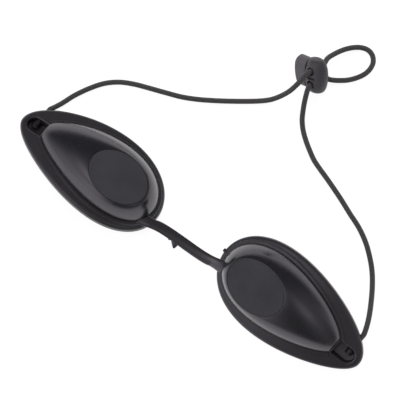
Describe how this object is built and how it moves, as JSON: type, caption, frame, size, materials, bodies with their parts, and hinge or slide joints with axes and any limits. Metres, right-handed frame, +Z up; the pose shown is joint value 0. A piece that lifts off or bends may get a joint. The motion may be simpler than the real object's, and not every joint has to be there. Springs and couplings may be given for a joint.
{
  "type": "laser patient goggles",
  "caption": "Opaque domed eye cups joined by a flexible nose strip, with an elastic head cord that runs from temple to temple through a push-button cord lock.",
  "frame": {"origin": "on the table, under the middle of the box round the two cups and the nose strip, without the cord", "axes": "+X towards the right temple tip, +Y towards the forehead and the cord, +Z up, out of the domes"},
  "size_m": [0.1823, 0.1351, 0.0231],
  "materials": {
    "eye_cup": "glossy dome, satin flange",
    "window_disc": "fine matte",
    "cord_sleeve": "matte",
    "cord": "fine woven cover over an elastic core",
    "cord_lock": "satin",
    "lock_button": "satin",
    "spring": "plain wire"
  },
  "bodies": {
    "frame": {"nose_strip": "eye_cup", "left_cord_run": "cord", "right_cord_run": "cord", "left_lock_strand": "cord", "right_lock_strand": "cord", "cord_end_loop": "cord", "lock_body": "cord_lock", "lock_spring": "spring"},
    "left_cup": {"left_eye_cup": "eye_cup", "left_window_disc": "window_disc", "left_cord_sleeve": "cord_sleeve", "left_cord_tail": "cord"},
    "right_cup": {"right_eye_cup": "eye_cup", "right_window_disc": "window_disc", "right_cord_sleeve": "cord_sleeve", "right_cord_tail": "cord"},
    "button": {"lock_button": "lock_button"}
  },
  "joints": [
    {"name": "left_cup_bend", "type": "hinge", "parent": "frame", "child": "left_cup", "pos_m": [-0.014, -0.00598, 0.00699], "axis": [0, -0.9636, 0.2672], "range_deg": [-20, 40], "stiffness_Nm_per_rad": 0.04},
    {"name": "right_cup_bend", "type": "hinge", "parent": "frame", "child": "right_cup", "pos_m": [0.01366, -0.00343, 0.00397], "axis": [0.0672, 0.9613, 0.2672], "range_deg": [-20, 40], "stiffness_Nm_per_rad": 0.04},
    {"name": "button_press", "type": "slide", "parent": "frame", "child": "button", "axis": [0.8748, 0.0842, 0.4772], "range_m": [0, 0.0016], "stiffness_N_per_m": 400, "springref_m": -0.0008, "deforming": ["lock_spring"]}
  ]
}
